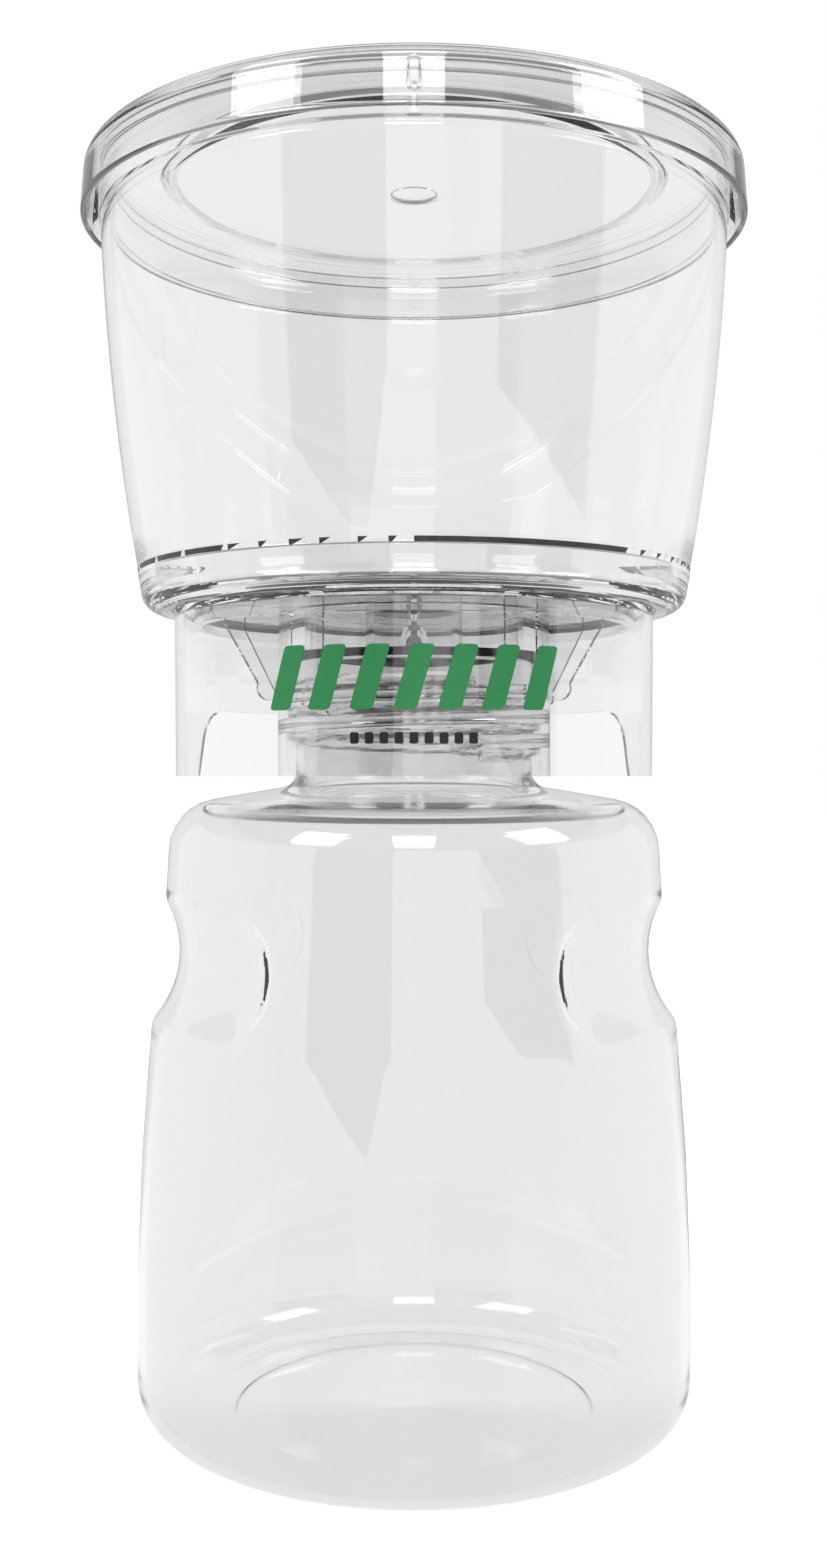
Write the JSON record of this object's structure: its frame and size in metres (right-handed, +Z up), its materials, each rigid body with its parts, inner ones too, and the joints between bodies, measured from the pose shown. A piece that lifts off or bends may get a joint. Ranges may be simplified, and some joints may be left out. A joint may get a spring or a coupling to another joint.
{
  "type": "vacuum filtration unit",
  "caption": "Clear lidded funnel welded to a filter adapter with a hose nozzle, screwed onto a clear receiver bottle with finger grips.",
  "frame": {"origin": "centre of the circle that the bottle's base stands on", "axes": "+Z up along the common axis of bottle, adapter, funnel and lid; +Y towards the suction nozzle at the back; -Y towards the viewer"},
  "size_m": [0.1112, 0.1112, 0.2084],
  "materials": {
    "clear_plastic": "water-clear polystyrene, glossy moulded surface",
    "soft_seal": "pale translucent silicone, satin",
    "white_fibre": "matt white filter membrane and fibre plug"
  },
  "bodies": {
    "bottle": {"bottle": "clear_plastic"},
    "seal_ring": {"neck_seal": "soft_seal"},
    "filter_head": {"adapter": "clear_plastic", "hose_nozzle": "clear_plastic", "air_filter": "white_fibre", "membrane": "white_fibre", "funnel": "clear_plastic"},
    "lid": {"lid": "clear_plastic"}
  },
  "joints": [
    {"name": "head_rise", "type": "slide", "parent": "bottle", "child": "seal_ring", "axis": [0, 0, 1], "range_m": [0, 0.0061]},
    {"name": "head_turn", "type": "hinge", "parent": "seal_ring", "child": "filter_head", "pos_m": [0, 0, 0.12], "axis": [0, 0, 1], "range_deg": [0, 540]},
    {"name": "lid_lift", "type": "slide", "parent": "filter_head", "child": "lid", "axis": [0, 0, 1], "range_m": [0, 0.06]}
  ],
  "couplings": [
    {"joint": "head_rise", "follows": "head_turn", "m_per_rad": 0.00063662}
  ]
}
